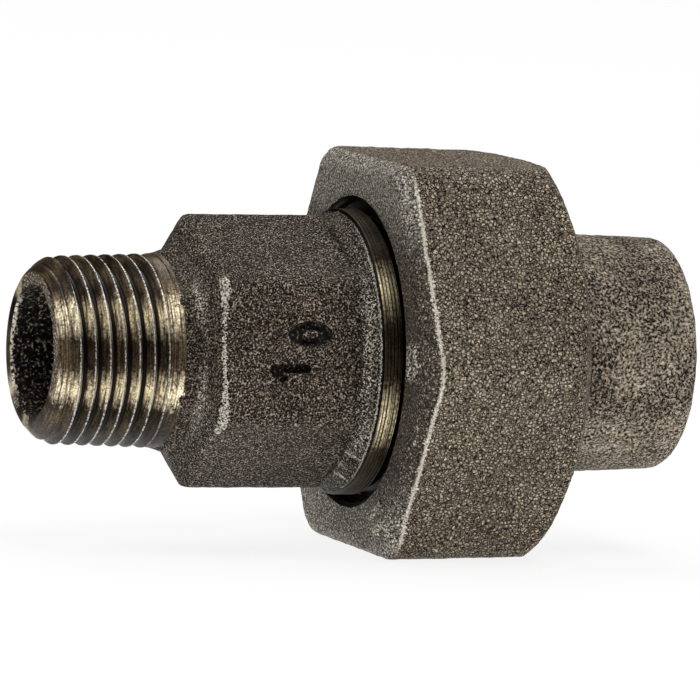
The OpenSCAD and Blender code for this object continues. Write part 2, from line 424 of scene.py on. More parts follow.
def makeNutBody(look):
    piece = addHexagon("unionNut", look, look["partingLine"], look["lipEnd"], 0)
    pickCap(piece, look["lipEnd"])
    draft = look["lipFlats"] / look["flats"]
    bpy.ops.transform.resize(value=(1, draft, draft), center_override=(0, 0, 0))
    endEdit()
    pickCap(piece, look["partingLine"])
    station, flats = look["partingLine"], look["flats"]
    for nextStation, nextFlats in look["faceSteps"]:
        pullCap(nextStation - station, nextFlats / flats)
        station, flats = nextStation, nextFlats
    endEdit()
    closeUp(piece)
    combine(piece, turnSolid("nutBlank", look["blank"], fineSteps), "INTERSECT")
    return piece


# Two pairs of plain raised bars on the nut's open face
def addBars(nut, look):
    face = look["faceSteps"][-1][0]
    for turn, radius in look["bars"]:
        bar = addStroke("faceBar", look["barProud"] * 2, look["barLength"], look["barWidth"])
        bar.data.transform(Matrix.Translation(spot(face, radius)))
        bar.data.transform(Matrix.Rotation(math.radians(turn), 4, "X"))
        combine(nut, bar, "UNION")


def makeNutTap(look):
    minor, pitch = look["minorRadius"], unionThread["pitch"]
    # whole pitches from the male half's groove, so that the nut's grooves take its ridges
    groove = unionThread["groove"] - 3 * pitch
    tooth = toothOutline(tapTooth, groove, pitch, minor, look["majorRadius"] - minor)
    tap = windThread("nutTap", tooth, pitch, look["tapTurns"], look["tapStart"], look["tapEnd"])
    lipMouth = look["lipMouthRadius"]
    outline = [(look["boreStart"], look["mouthRadius"]), (look["mouthEnd"], look["mouthRadius"])]
    outline += [(station, look["recessRadius"]) for station in look["recess"]]
    outline += [(station, minor) for station in look["thread"]]
    outline += [(station, look["cavityRadius"]) for station in look["cavity"]]
    outline += [(station, look["lipRadius"]) for station in (look["cavity"][1], look["lipBoreEnd"])]
    outline += [(station, lipMouth) for station in look["lipMouth"]]
    core = turnSolid("nutCore", outline, fineSteps)
    combine(core, tap, "UNION")
    return core


unionNut = makeNutBody(nutLook)
addBars(unionNut, nutLook)
softenCasting(unionNut, nutLook)
combine(unionNut, makeNutTap(nutLook), "DIFFERENCE")
finishShape(unionNut)

# Female half: collar held by the nut's lip, drafted cast body, threaded socket
femaleLook = {
    "voxel": 0.24, "soften": 3, "lump": 0.8, "lumpHeight": 0.12,
    "collarStart": 38.25, "collarEnd": 41.78, "collarRadius": 12.0, "neckLength": 0.5, "neckRise": 0.25,
    "bodyRadius": 10.72, "mouthRadius": 10.2, "mouthRound": 1.1, "end": 58.44,
    "flowStart": 37, "flowRadius": 6.0, "socketStart": 47.0, "shoulder": 0.8,
    "bevelStart": 57.2, "bevelEnd": 58.5, "bevelRise": 1.1,
    "tapGroove": 44.0, "tapStart": 47.3, "tapEnd": 59.5,
}


def makeFemaleBody(look):
    end, mouth, edge = look["end"], look["mouthRadius"], look["mouthRound"]
    collar, body = look["collarRadius"], look["bodyRadius"]
    outline = [(look["collarStart"], collar), (look["collarEnd"], collar),
               (look["collarEnd"], body + look["neckRise"]),
               (look["collarEnd"] + look["neckLength"], body)]
    return turnSolid("femaleHalf", outline + quarterArc((end - edge, mouth), (end, mouth - edge), 15))


def makeSocketTap(look):
    tap = makePipeThread("socketTap", look["tapStart"], look["tapEnd"], look["tapGroove"])
    minor = pipeThread["crest"] - pipeThread["depth"]
    mouth = minor + look["bevelRise"]
    core = turnSolid("socketCore", [
        (look["flowStart"], look["flowRadius"]), (look["socketStart"], look["flowRadius"]),
        (look["socketStart"] + look["shoulder"], minor), (look["bevelStart"], minor),
        (look["bevelEnd"], mouth), (look["tapEnd"], mouth)])
    combine(core, tap, "UNION")
    return core


femaleHalf = makeFemaleBody(femaleLook)
softenCasting(femaleHalf, femaleLook)
combine(femaleHalf, makeSocketTap(femaleLook), "DIFFERENCE")
finishShape(femaleHalf)

# Gasket: flat fibre ring, pressed a little round at its edges
gasketLook = {"start": 36.63, "end": 38.17, "holeRadius": 6.3, "outRadius": 12.05, "edge": 0.25,
              "edgeCut": 0.075, "rings": (8.2, 10.2)}


def makeGasket(look):
    hole, out, edge, cut = look["holeRadius"], look["outRadius"], look["edge"], look["edgeCut"]
    side = [(edge, hole), (cut, hole + cut), (0, hole + edge)]
    side += [(0, radius) for radius in look["rings"]]
    side += [(0, out - edge), (cut, out - cut), (edge, out)]
    ring = [(look["start"] + along, radius) for along, radius in side]
    ring += [(look["end"] - along, radius) for along, radius in reversed(side)]
    return turnRing("seatGasket", ring + ring[:1])


seatGasket = makeGasket(gasketLook)
finishShape(seatGasket)
print("pieces modelled")


# Materials
def toLinear(code):
    channels = [int(code[i:i + 2], 16) / 255 for i in (1, 3, 5)]
    return tuple(c / 12.92 if c <= 0.04045 else ((c + 0.055) / 1.055) ** 2.4 for c in channels) + (1.0,)


# A socket given as a value is linked, a list of (place, colour) fills a ramp, the rest is set
def fillNode(tree, node, given):
    for key, value in given.items():
        if key == "ramp":
            stops = node.color_ramp.elements
            while len(stops) < len(value):
                stops.new(1.0)
            for stop, (place, code) in zip(stops, value):
                stop.position = place
                stop.color = toLinear(code)
        elif isinstance(value, bpy.types.NodeSocket):
            tree.links.new(value, node.inputs[key])
        elif isinstance(key, str) and hasattr(node, key):
            setattr(node, key, value)
        else:
            node.inputs[key].default_value = value


def addNode(tree, kind, given):
    node = tree.nodes.new("ShaderNode" + kind)
    fillNode(tree, node, given)
    return node


def calc(tree, operation, *values):
    given = {"operation": operation}
    given.update(enumerate(values))
    return addNode(tree, "Math", given).outputs[0]


# While the value runs over the span, the answer runs between the ends, and outside it stays there
def fade(tree, value, span, ends=(0.0, 1.0)):
    given = {0: value, 1: span[0], 2: span[1], 3: ends[0], 4: ends[1]}
    return addNode(tree, "MapRange", given).outputs[0]


falling = (1.0, 0.0)


# Sizes in mm, and stations along the axis, as a span in metres
def inMetres(span):
    return [size * mm for size in span]


def betweenStations(span):
    return [alongAxis(station) for station in span]


def perMetre(size):
    return 1 / (size * mm)


def noise(tree, place, size, detail, roughness=0.5):
    return addNode(tree, "TexNoise", {"Vector": place, "Scale": perMetre(size), "Detail": detail,
                                      "Roughness": roughness}).outputs["Fac"]


def ramp(tree, value, stops):
    return addNode(tree, "ValToRGB", {"Fac": value, "ramp": stops}).outputs["Color"]


def mix(tree, share, under, over, blend="MIX"):
    return addNode(tree, "Mix", {"data_type": "RGBA", "blend_type": blend, 0: share,
                                 6: under, 7: over}).outputs[2]


def addBump(tree, height, strength, depth):
    return addNode(tree, "Bump", {"Height": height, "Strength": strength,
                                  "Distance": depth * mm}).outputs["Normal"]


def newMaterial(name):
    material = bpy.data.materials.new(name)
    material.use_nodes = True
    tree = material.node_tree
    tree.nodes.clear()
    shader = addNode(tree, "BsdfPrincipled", {})
    addNode(tree, "OutputMaterial", {"Surface": shader.outputs["BSDF"]})
    place = addNode(tree, "TexCoord", {}).outputs["Object"]
    return material, tree, shader, place


# The axes of a place on the piece, and how far it lies from the flow axis
def findRadius(tree, place):
    axes = addNode(tree, "SeparateXYZ", {0: place}).outputs
    squares = calc(tree, "MULTIPLY", axes[1], axes[1])
    squares = calc(tree, "MULTIPLY_ADD", axes[2], axes[2], squares)
    return axes, calc(tree, "SQRT", squares)


# Sand grains leave cells with crooked gaps between them, which close up here and there and lie in patches
def addPits(tree, place, look, grain, glint, cloud):
    cell = look["cell"]
    drift = addNode(tree, "TexNoise", {"Vector": place, "Scale": perMetre(cell * look["driftSize"]),
                                       "Detail": 1.0}).outputs["Color"]
    wander = (cell * look["driftReach"] * mm,) * 3
    bent = addNode(tree, "VectorMath", {"operation": "MULTIPLY_ADD", 0: drift, 1: wander,
                                        2: place}).outputs[0]
    edge = addNode(tree, "TexVoronoi", {"feature": "DISTANCE_TO_EDGE", "Vector": bent,
                                        "Scale": perMetre(cell)}).outputs["Distance"]
    pits = fade(tree, edge, look["gap"], falling)
    broken = fade(tree, glint, look["broken"])
    patchy = fade(tree, cloud, look["patch"], (1.0, look["patchLeast"]))
    for mask in (broken, patchy):
        pits = calc(tree, "MULTIPLY", pits, mask)
    half = look["grainShare"] / 2
    calm = fade(tree, grain, (0.0, 1.0), (0.5 - half, 0.5 + half))
    return calc(tree, "MULTIPLY_ADD", pits, -look["pitDepth"], calm)


# Metal worn bare, and painted glints and highlights, between two stations, on what stands further out than
# reach. The line wanders, its edges are ragged by the grain and it swells further out; sides fade it along
# an axis, both ways, in mm
def addWearAndGlintZone(tree, axes, radius, zone, grain, glint, cloud):
    middle, half = alongAxis((zone["start"] + zone["end"]) / 2), (zone["end"] - zone["start"]) / 2 * mm
    wander, ragged, reach = zone["wander"] * mm, zone["ragged"] * mm, zone["reach"] * mm
    line = fade(tree, cloud, zone["wanderOver"], (middle - wander, middle + wander))
    gap = calc(tree, "ABSOLUTE", calc(tree, "SUBTRACT", axes[0], line))
    gap = calc(tree, "ADD", gap, fade(tree, grain, zone["raggedOver"], (ragged, -ragged)))
    if zone["swell"]:
        start, end, wide = inMetres(zone["swell"])
        gap = calc(tree, "SUBTRACT", gap, fade(tree, radius, (start, end), (0.0, wide)))
    patch = fade(tree, gap, (half * zone["core"], half), falling)
    masks = [fade(tree, radius, (reach - zone["reachFade"] * mm, reach)),
             fade(tree, glint if zone["fine"] else grain, zone["torn"], (0.0, zone["share"]))]
    for axis, outer, inner in zone["sides"]:
        masks.append(fade(tree, calc(tree, "ABSOLUTE", axes[axis]), inMetres((outer, inner))))
    for mask in masks:
        patch = calc(tree, "MULTIPLY", patch, mask)
    return patch


# Sand-cast malleable iron under black scale: a flat skin broken by small dark pits and light grains, metal
# showing through where edges are knocked, and painted glints and highlights in zones; oiled ones are darker
# and catch more light
def castIron(name, look):
    material, tree, shader, place = newMaterial(name)
    axes, radius = findRadius(tree, place)
    glint = noise(tree, place, look["glint"], 1.0)
    cloud = noise(tree, place, look["cloud"], 3.0, 0.55)
    grain = addPits(tree, place, look, noise(tree, place, look["grain"], 2.0, 0.6), glint, cloud)
    skin = mix(tree, 1.0, ramp(tree, grain, look["skin"]), ramp(tree, cloud, look["tint"]), "MULTIPLY")
    bend = addNode(tree, "NewGeometry", {}).outputs["Pointiness"]
    # knocked grains shine
    wearAndGlints = fade(tree, bend, look["wearAndGlints"])
    begun = fade(tree, axes[0], betweenStations(look["wornStart"]))
    for mask in (fade(tree, glint, look["knocked"]), begun):
        wearAndGlints = calc(tree, "MULTIPLY", wearAndGlints, mask)
    # zones add bare metal and painted glints and highlights
    for zone in look["zones"]:
        patch = addWearAndGlintZone(tree, axes, radius, zone, grain, glint, cloud)
        wearAndGlints = calc(tree, "MAXIMUM", wearAndGlints, patch)
    # dirt and painted shade darken the hollows, and the pits more so towards one end
    hollowDirtAndShade = fade(tree, bend, look["hollow"], falling)
    pitDirtAndShade = fade(tree, axes[0], betweenStations(look["pitDirtAndShade"]), (look["pitDirtAndShadeShare"], 0.0))
    pitDirtAndShade = calc(tree, "MULTIPLY", pitDirtAndShade, fade(tree, grain, look["pitted"], falling))
    dirtyAndShaded = mix(tree, calc(tree, "MAXIMUM", hollowDirtAndShade, pitDirtAndShade), skin, toLinear(look["dirtAndShade"]))
    # pits sink below a flat skin
    level = fade(tree, grain, look["flat"])
    grit = calc(tree, "MULTIPLY_ADD", glint, look["glintShare"], level)
    fillNode(tree, shader, {
        "Base Color": mix(tree, wearAndGlints, dirtyAndShaded, toLinear(look["metal"])),
        "Metallic": calc(tree, "MULTIPLY", wearAndGlints, look["bare"]),
        "Roughness": fade(tree, grain, look["roughOver"], look["rough"]),
        "Normal": addBump(tree, grit, look["bump"], look["relief"]),
        "Specular IOR Level": look["shine"],
    })
    return material


# Painted reflections: gold strips along the thread, where lamps and the white floor would shine in the cut
# flanks, their edges wandering by some hundredths of a radian
def addReflectionStrips(tree, colour, around, grain, marks, look):
    streak = fade(tree, marks, look["streakOver"], look["streak"])
    shift = fade(tree, grain, look["wanderOver"], look["wander"])
    for middle, half, share in look["reflectionStrips"]:
        gap = calc(tree, "ABSOLUTE", calc(tree, "SUBTRACT", around, math.radians(middle)))
        gap = calc(tree, "ADD", gap, shift)
        edge = [math.radians(half * part) for part in look["stripEdge"]]
        strip = fade(tree, gap, edge, (share, 0.0))
        colour = mix(tree, calc(tree, "MULTIPLY", strip, streak), colour, toLinear(look["reflectionGold"]))
    return colour


# Silver on the crests, up to where they wash out, black oil and painted shade in the roots, and black oil in
# specks
def addCrestsOilAndShade(tree, colour, axes, radius, grain, grit, look):
    # depth under the crests, which lie on a cone or a cylinder
    cone = calc(tree, "MULTIPLY_ADD", axes[0], look["taper"], look["crestRadius"] * mm)
    upper, lower = (cone, radius) if look["outside"] else (radius, cone)
    below = calc(tree, "SUBTRACT", upper, lower)
    crest = fade(tree, below, inMetres(look["crestDepth"]), falling)
    ragged = fade(tree, grit, look["crestOver"], look["crestShare"])
    washed = fade(tree, axes[0], betweenStations(look["crestEnd"]), falling)
    for mask in (ragged, washed):
        crest = calc(tree, "MULTIPLY", crest, mask)
    hollowDirtAndShade = fade(tree, below, inMetres(look["depth"] * part for part in look["oilAndShadeDepth"]))
    begun = fade(tree, axes[0], betweenStations(look["grooveStart"]))
    hollowDirtAndShade = calc(tree, "MULTIPLY", hollowDirtAndShade, begun)
    dark = calc(tree, "MAXIMUM", hollowDirtAndShade, fade(tree, grain, look["speckOver"], (0.0, look["specks"])))
    colour = mix(tree, dark, colour, toLinear(look["oilAndShade"]))
    return mix(tree, crest, colour, toLinear(look["crest"]))


# Iron cut on the lathe and left oily: brown flanks with painted gold reflection strips, silver crests, roots
# black with oil and painted shade
def cutIron(name, look):
    material, tree, shader, place = newMaterial(name)
    axes, radius = findRadius(tree, place)
    grain = noise(tree, place, look["grain"], 4.0, 0.65)
    grit = noise(tree, place, look["grit"], 1.0)
    # tool marks run round the axis, so the pattern is fine along X and long round it
    around = calc(tree, "ARCTAN2", axes[1], axes[2])
    fine = calc(tree, "MULTIPLY", axes[0], perMetre(look["markGap"]))
    swing = calc(tree, "MULTIPLY", around, look["markLength"])
    marksAt = addNode(tree, "CombineXYZ", {0: fine, 1: swing, 2: 0.0}).outputs[0]
    marks = addNode(tree, "TexNoise", {"Vector": marksAt, "Scale": 1.0, "Detail": 2.0}).outputs["Fac"]
    colour = ramp(tree, noise(tree, place, look["cloud"], 2.0), look["sheen"])
    colour = addReflectionStrips(tree, colour, around, grain, marks, look)
    # streaks and grit show everywhere, and the underside is painted darker as shade
    scored = fade(tree, marks, look["scoredOver"], look["scored"])
    gritty = fade(tree, grit, look["grittyOver"], look["gritty"])
    undersideShade = fade(tree, axes[2], inMetres(look["undersideShade"]), (look["undersideShadeLevel"], 1.0))
    for mask in (scored, gritty, undersideShade):
        colour = mix(tree, 1.0, colour, mask, "MULTIPLY")
    relief = calc(tree, "MULTIPLY_ADD", grain, look["grainShare"], marks)
    fillNode(tree, shader, {
        "Base Color": addCrestsOilAndShade(tree, colour, axes, radius, grain, grit, look),
        "Metallic": look["metallic"],
        "Roughness": fade(tree, grain, look["roughOver"], look["rough"]),
        "Normal": addBump(tree, relief, look["bump"], look["relief"]),
        "Specular IOR Level": look["shine"],
    })
    return material


# Compressed fibre: matt red-brown sheet with short pressed fibres
def pressedFibre(name, look):
    material, tree, shader, place = newMaterial(name)
    strands = addNode(tree, "TexNoise", {"Vector": place, "Scale": perMetre(look["fibre"]), "Detail": 5.0,
                                         "Distortion": 1.5}).outputs["Fac"]
    fillNode(tree, shader, {
        "Base Color": ramp(tree, strands, look["skin"]),
        "Roughness": look["rough"],
        "Normal": addBump(tree, strands, look["bump"], look["relief"]),
    })
    return material


# A name that ends in Over is the span of noise that a value changes over. Sizes and stations are in mm
plainZone = {"wander": 0.0, "wanderOver": (0.3, 0.7), "ragged": 0.0, "raggedOver": (0.36, 0.64),
             "swell": None, "core": 0.5, "reachFade": 0.4, "fine": False, "share": 1.0, "sides": []}
# the nut's bright line lies on its parting line, on the front and back corners: worn metal with a painted
# highlight
partingLine = dict(plainZone, start=30.42, end=31.02, reach=15.5, wander=0.1, ragged=0.12,
                   fine=True, torn=(0.28, 0.42), sides=[(2, 16.9, 15.4)])
nutCorners = dict(plainZone, start=31.5, end=45.5, reach=19.35, torn=(0.42, 0.5), share=0.16)
# a painted highlight on the top and bottom of the nut's open face
faceEndHighlights = dict(plainZone, start=28.0, end=32.0, reach=13.6, torn=(0.41, 0.55), share=0.85,
                sides=[(2, 9.0, 14.0)])
barTops = dict(plainZone, start=28.5, end=29.3, reach=14.0, ragged=0.05, fine=True, torn=(0.44, 0.58),
               share=0.9)
# the hexagon's front edge: worn metal with a painted highlight
hexEdge = dict(plainZone, start=13.84, end=14.12, reach=9.6, wander=0.06, ragged=0.12,
               swell=(10.7, 11.6, 0.28), torn=(0.38, 0.54), share=0.95, sides=[(1, 8.6, 9.6)])
# painted glints on the flare's slope, and its worn rim with a painted highlight
flareSlope = dict(plainZone, start=26.3, end=27.7, reach=9.6, wander=0.1, ragged=0.3, fine=True,
                  torn=(0.53, 0.62), sides=[(2, 8.6, 6.4)])
flareRim = dict(plainZone, start=27.62, end=27.82, reach=11.5, ragged=0.06, torn=(0.3, 0.45), share=0.8,
                sides=[(2, 11.8, 9.5)])
# painted glints on the root's slope
rootSlope = dict(plainZone, start=12.2, end=13.2, reach=8.6, wander=0.15, ragged=0.1, fine=True,
                 torn=(0.53, 0.61), sides=[(2, 8.5, 6.0)])
boreRim = dict(plainZone, start=-0.3, end=0.32, reach=5.4, wander=0.08, ragged=0.14, torn=(0.42, 0.5),
               sides=[(2, 4.6, 3.4)])

dryLook = {
    "grain": 0.2, "glint": 0.2, "cloud": 4.5, "glintShare": 0.35, "flat": (0.34, 0.56),
    "cell": 0.34, "driftSize": 1.5, "driftReach": 0.8, "gap": (0.03, 0.16), "broken": (0.46, 0.56),
    "patch": (0.36, 0.64), "patchLeast": 0.8, "grainShare": 0.85, "pitDepth": 0.5,
    "skin": [(0.3, "#060403"), (0.39, "#261f18"), (0.44, "#7a6d5d"), (0.49, "#b4a793"), (0.59, "#d1c4af"),
             (0.7, "#e8dbc5")],
    "tint": [(0.3, "#e6e2dc"), (0.7, "#fffcf6")],
    "wearAndGlints": (0.56, 0.66), "knocked": (0.42, 0.58), "wornStart": (0, 0.5), "hollow": (0.4, 0.47),
    "pitDirtAndShade": (29.0, 29.5), "pitDirtAndShadeShare": 0.0, "pitted": (0.46, 0.56), "bare": 0.5, "dirtAndShade": "#15110d",
    "metal": "#efe7d7", "rough": (0.7, 0.5), "roughOver": (0.35, 0.65), "bump": 1.0, "relief": 0.2,
    "shine": 0.22, "zones": [partingLine, nutCorners],
}
dryIron = castIron("sandCastBlackIron", dryLook)
# the nut's open face: a copy painted darker as shade, a painted highlight above and below, and knocked bars
nutFaceShadedIron = castIron("sandCastBlackIronFaceShaded", dict(
    dryLook, rough=(0.65, 0.45), shine=0.25, pitDepth=0.2, zones=[partingLine, faceEndHighlights, barTops],
    skin=[(0.36, "#050302"), (0.43, "#2a241e"), (0.49, "#6a6055"), (0.57, "#93887a"), (0.68, "#cabeae")]))
# the female half's body: coarser pits in patches, its pits darker towards the nut
femaleIron = castIron("sandCastBlackIronBody", dict(
    dryLook, grain=0.22, cell=0.46, gap=(0.03, 0.19), patch=(0.4, 0.6), patchLeast=0.1,
    pitDepth=0.24, pitDirtAndShade=(46.5, 51.5), pitDirtAndShadeShare=0.75, metal="#d8d2c6", zones=[],
    skin=[(0.32, "#0f0c09"), (0.4, "#3a332a"), (0.45, "#82776a"), (0.5, "#a89c8c"), (0.6, "#bdb2a1"),
          (0.7, "#ddd2bf")],
    tint=[(0.3, "#d6d0c8"), (0.7, "#fffcf6")]))
# oiled iron is darker, its pits towards the flare painted darker as shade, its flare and root carry painted
# glints, and its front edge is worn metal with a painted highlight
oiledIron = castIron("sandCastOiledIron", dict(
    dryLook, grain=0.15, cell=0.26, grainShare=1.0, pitDepth=0.08, glint=0.16, cloud=5.0, glintShare=0.5,
    skin=[(0.36, "#030201"), (0.43, "#201a16"), (0.49, "#554a41"), (0.56, "#7d7266"), (0.67, "#c0b5a7")],
    tint=[(0.3, "#d6d0c8"), (0.7, "#fffcf6")], pitDirtAndShade=(26.6, 23.6), pitDirtAndShadeShare=0.9, relief=0.3,
    dirtAndShade="#0d0a07", metal="#f2eadb", rough=(0.62, 0.42), shine=0.18, wornStart=(13.2, 13.7),
    zones=[hexEdge, flareSlope, flareRim, rootSlope]))
# the bores are painted almost black as shade, with light grains
boreLook = dict(
    dryLook, grain=0.26, grainShare=1.0, pitDepth=0.0, cloud=4.0, glintShare=0.4, bare=0.4, bump=0.8,
    skin=[(0.4, "#020201"), (0.5, "#0f0c09"), (0.56, "#2e2922"), (0.62, "#807769"), (0.69, "#e0d6c6")],
    tint=[(0.3, "#cfc9c1"), (0.7, "#fffcf6")], wearAndGlints=(0.6, 0.7), hollow=(0.38, 0.47), relief=0.14,
    dirtAndShade="#040302", metal="#f3e9d8", rough=(0.65, 0.45), shine=0.3, zones=[boreRim])
boreIron = castIron("sandCastIronBore", boreLook)
# the female half's flow way, painted almost black as shade like the bores, has no knocked edges
flowIron = castIron("sandCastIronFlowWay", dict(boreLook, wearAndGlints=(0.9, 1.0), zones=[]))
# dirt and oil fill the cast-in mark, darkened further as painted shade
markIron = castIron("sandCastIronMark", dict(
    boreLook, wearAndGlints=(0.56, 0.64), zones=[],
    skin=[(0.4, "#040302"), (0.5, "#110e0b"), (0.57, "#27221c"), (0.63, "#4b443b"), (0.7, "#8a8174")]))

cutLook = {
    "markGap": 0.16, "markLength": 3.0, "grain": 0.4, "grit": 0.2, "cloud": 3.0, "grainShare": 0.8,
    "scoredOver": (0.36, 0.62), "scored": (0.4, 1.4), "grittyOver": (0.38, 0.62), "gritty": (0.6, 1.3),
    # the strips round the axis are painted reflections, gold on the cut flanks
    "undersideShadeLevel": 1.0, "undersideShade": (-7.5, -4.0), "reflectionStrips": [(-62, 14, 0.8), (40, 12, 0.8), (128, 15, 0.8)],
    "streakOver": (0.32, 0.55), "streak": (0.25, 1.0), "wanderOver": (0.3, 0.7), "wander": (-0.08, 0.08),
    "stripEdge": (0.15, 1.3), "outside": False, "taper": 0.0, "crestDepth": (0.01, 0.05),
    "crestOver": (0.4, 0.6), "crestShare": (0.1, 1.0), "crestEnd": (59.5, 60), "oilAndShadeDepth": (0.78, 0.96),
    "grooveStart": (-0.3, 0), "speckOver": (0.56, 0.64), "specks": 0.5,
    "oilAndShade": "#0a0805", "rough": (0.3, 0.5), "roughOver": (0.3, 0.7), "bump": 0.5, "relief": 0.06,
    "metallic": 0.45, "shine": 0.2,
}
# the outside thread and band carry painted reflection strips on every side; the crests' cone has its radius
# given at the middle
pipeThreadIron = cutIron("latheCutPipeThread", dict(
    cutLook, markGap=0.12, grain=0.34, grit=0.18, undersideShadeLevel=0.32, outside=True, specks=0.7,
    crestRadius=9.045, taper=pipeThread["taper"], depth=pipeThread["depth"],
    crestEnd=(9.6, 10.1), grooveStart=(1.4, 1.7),
    sheen=[(0.35, "#362c22"), (0.6, "#645541")], reflectionGold="#fbeac6", oilAndShade="#0d0a07", crest="#cfcbc2",
    reflectionStrips=[(-62, 12, 0.85), (-110, 11, 1.0), (40, 12, 0.8), (128, 15, 0.8), (172, 7, 0.8)]))
# the band and union thread get a sheen painted darker as shade, for they lie in the gap by the nut
bandIron = cutIron("latheCutBand", dict(
    cutLook, markGap=0.14, markLength=1.2, grain=0.34, grit=0.18, grainShare=0.5, outside=True,
    crestRadius=bandLook["radius"], depth=0.03, crestEnd=(19.5, 20), crestShare=(0.1, 0.0), relief=0.05,
    sheen=[(0.35, "#2b241a"), (0.6, "#4b4030")], reflectionGold="#f7e4b8", oilAndShade="#070503", crest="#8d8778",
    reflectionStrips=[(-58, 11, 0.5), (-111, 12, 1.0), (40, 12, 0.8), (128, 15, 0.8), (172, 7, 0.8)]))
# the nut's inner thread and recess get a sheen painted darker as shade
nutTapIron = cutIron("latheCutNutThread", dict(
    cutLook, crestRadius=nutLook["minorRadius"], depth=nutLook["majorRadius"] - nutLook["minorRadius"],
    sheen=[(0.35, "#2a2219"), (0.6, "#4a3f30")], reflectionGold="#c9b890", crest="#c4c0b6"))
socketTapIron = cutIron("latheCutSocketThread", dict(
    cutLook, crestRadius=pipeThread["crest"] - pipeThread["depth"], depth=pipeThread["depth"],
    sheen=[(0.35, "#4a3f32"), (0.6, "#766752")], reflectionGold="#dccba4", crest="#d2cec5"))
gasketFibre = pressedFibre("compressedFibreSheet", {
    "fibre": 0.5, "rough": 0.85, "bump": 0.4, "relief": 0.03,
    "skin": [(0.3, "#5a3022"), (0.5, "#75402d"), (0.7, "#8d533b")],
})


# Each face takes the finish that its place on the piece calls for
def dress(piece, materials, choose):
    piece.data.materials.clear()
    for material in materials:
        piece.data.materials.append(material)
    for face in piece.data.polygons:
        finish = choose(face, stationOf(face.center), radiusOf(face.center))
        face.material_index = materials.index(finish)


# Stations and radii in mm where one finish gives way to the next
maleEdges = {"endFace": 0.06, "endFaceRadius": 5.75, "endFacing": -0.8, "boreStart": 0.03, "boreRadius": 6.4,
             "threadEnd": 10.3, "washoutPast": 0.1, "washoutNear": 0.03, "bandStart": 27.83,
             "bandRadius": 11, "seatFace": 36.55, "markReach": 4, "markTop": 0.16, "markBottom": 1.16}
nutEdges = {"recess": (29.2, 31.35), "recessRadius": 13.73, "recessFacing": -0.95,
            "faceEnd": 30.55, "faceRadius": 13.4, "inside": (29.5, 46.0), "insideRadius": 13.9,
            "wallFacing": 0.98, "lip": (41, 42.2), "lipRadius": 13.4}
femaleEdges = {"seatFace": 38.4, "flowRadius": 7.3, "threadRadius": 8.4, "thread": (46.9, 58)}
markStand = markFrame(markLook).inverted()


# The washout is the only part of the thread that lies among the cast skin at its end
def onWashout(station, radius):
    (start, low), (end, high) = maleLook["washout"][-2:]
    rise = (station - start) * (high - low) / (end - start)
    near = abs(radius - low - rise) < maleEdges["washoutNear"]
    return near and station < end + maleEdges["washoutPast"]


def inMark(centre):
    along, across, out = markStand @ centre / mm
    reach = maleEdges["markReach"]
    return max(abs(along), abs(across)) < reach and maleEdges["markTop"] < -out < maleEdges["markBottom"]


def maleFinish(face, station, radius):
    e = maleEdges
    if station < e["endFace"] and radius > e["endFaceRadius"] and face.normal.x < e["endFacing"]:
        return dryIron
    if radius < e["boreRadius"] and e["boreStart"] < station < e["seatFace"]:
        return boreIron
    if station < e["threadEnd"] or onWashout(station, radius):
        return pipeThreadIron
    if (station > e["bandStart"] and radius > e["bandRadius"]) or station > e["seatFace"]:
        return bandIron
    return markIron if inMark(face.center) else oiledIron


def nutFinish(face, station, radius):
    e = nutEdges
    recessFrom, recessTo = e["recess"]
    facing = face.normal.x
    if radius < e["recessRadius"] and recessFrom < station < recessTo and facing > e["recessFacing"]:
        return nutTapIron
    if station < e["faceEnd"] and radius > e["faceRadius"]:
        return nutFaceShadedIron
    insideFrom, insideTo = e["inside"]
    lipFrom, lipTo = e["lip"]
    inside = radius < e["insideRadius"] and insideFrom < station < insideTo
    onWall = inside and abs(facing) < e["wallFacing"]
    onLip = lipFrom < station < lipTo and radius < e["lipRadius"]
    return nutTapIron if onWall or onLip else dryIron


def femaleFinish(face, station, radius):
    e = femaleEdges
    if radius < e["flowRadius"] and station > e["seatFace"]:
        return flowIron
    threadFrom, threadTo = e["thread"]
    threaded = radius < e["threadRadius"] and threadFrom < station < threadTo
    return socketTapIron if threaded or station < e["seatFace"] else femaleIron


def gasketFinish(face, station, radius):
    return gasketFibre


dress(maleHalf, [oiledIron, pipeThreadIron, bandIron, boreIron, dryIron, markIron], maleFinish)
dress(unionNut, [dryIron, nutTapIron, nutFaceShadedIron], nutFinish)
dress(femaleHalf, [femaleIron, socketTapIron, flowIron], femaleFinish)
dress(seatGasket, [gasketFibre], gasketFinish)
print("materials set")

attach(maleHalf, "male")
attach(seatGasket, "seat")
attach(unionNut, "nut")
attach(femaleHalf, "female")
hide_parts("male_half")
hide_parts("seat_gasket")
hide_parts("union_nut")
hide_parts("female_half")

# Camera: far off with a long lens, a little to the male side and rolled slightly
cameraLook = {"azimuth": -21.05, "elevation": 6.165, "roll": 2.645, "distance": 1.0, "lens": 588.3,
              "sensor": 36, "nearest": 0.01, "right": 0.214, "up": 0.124}


def addCamera(look):
    azimuth, elevation = math.radians(look["azimuth"]), math.radians(look["elevation"])
    toCamera = Vector((math.sin(azimuth) * math.cos(elevation), -math.cos(azimuth) * math.cos(elevation),
                       math.sin(elevation)))
    turn = toCamera.to_track_quat("Z", "Y").to_matrix() @ Matrix.Rotation(math.radians(look["roll"]), 3, "Z")
    place = toCamera * look["distance"] + turn @ Vector((look["right"] * mm, look["up"] * mm, 0))
    bpy.ops.object.camera_add(location=place, rotation=turn.to_euler())
    camera = bpy.context.object
    camera.data.lens = look["lens"]
    camera.data.sensor_width = look["sensor"]
    camera.data.clip_start = look["nearest"]
    bpy.context.scene.camera = camera


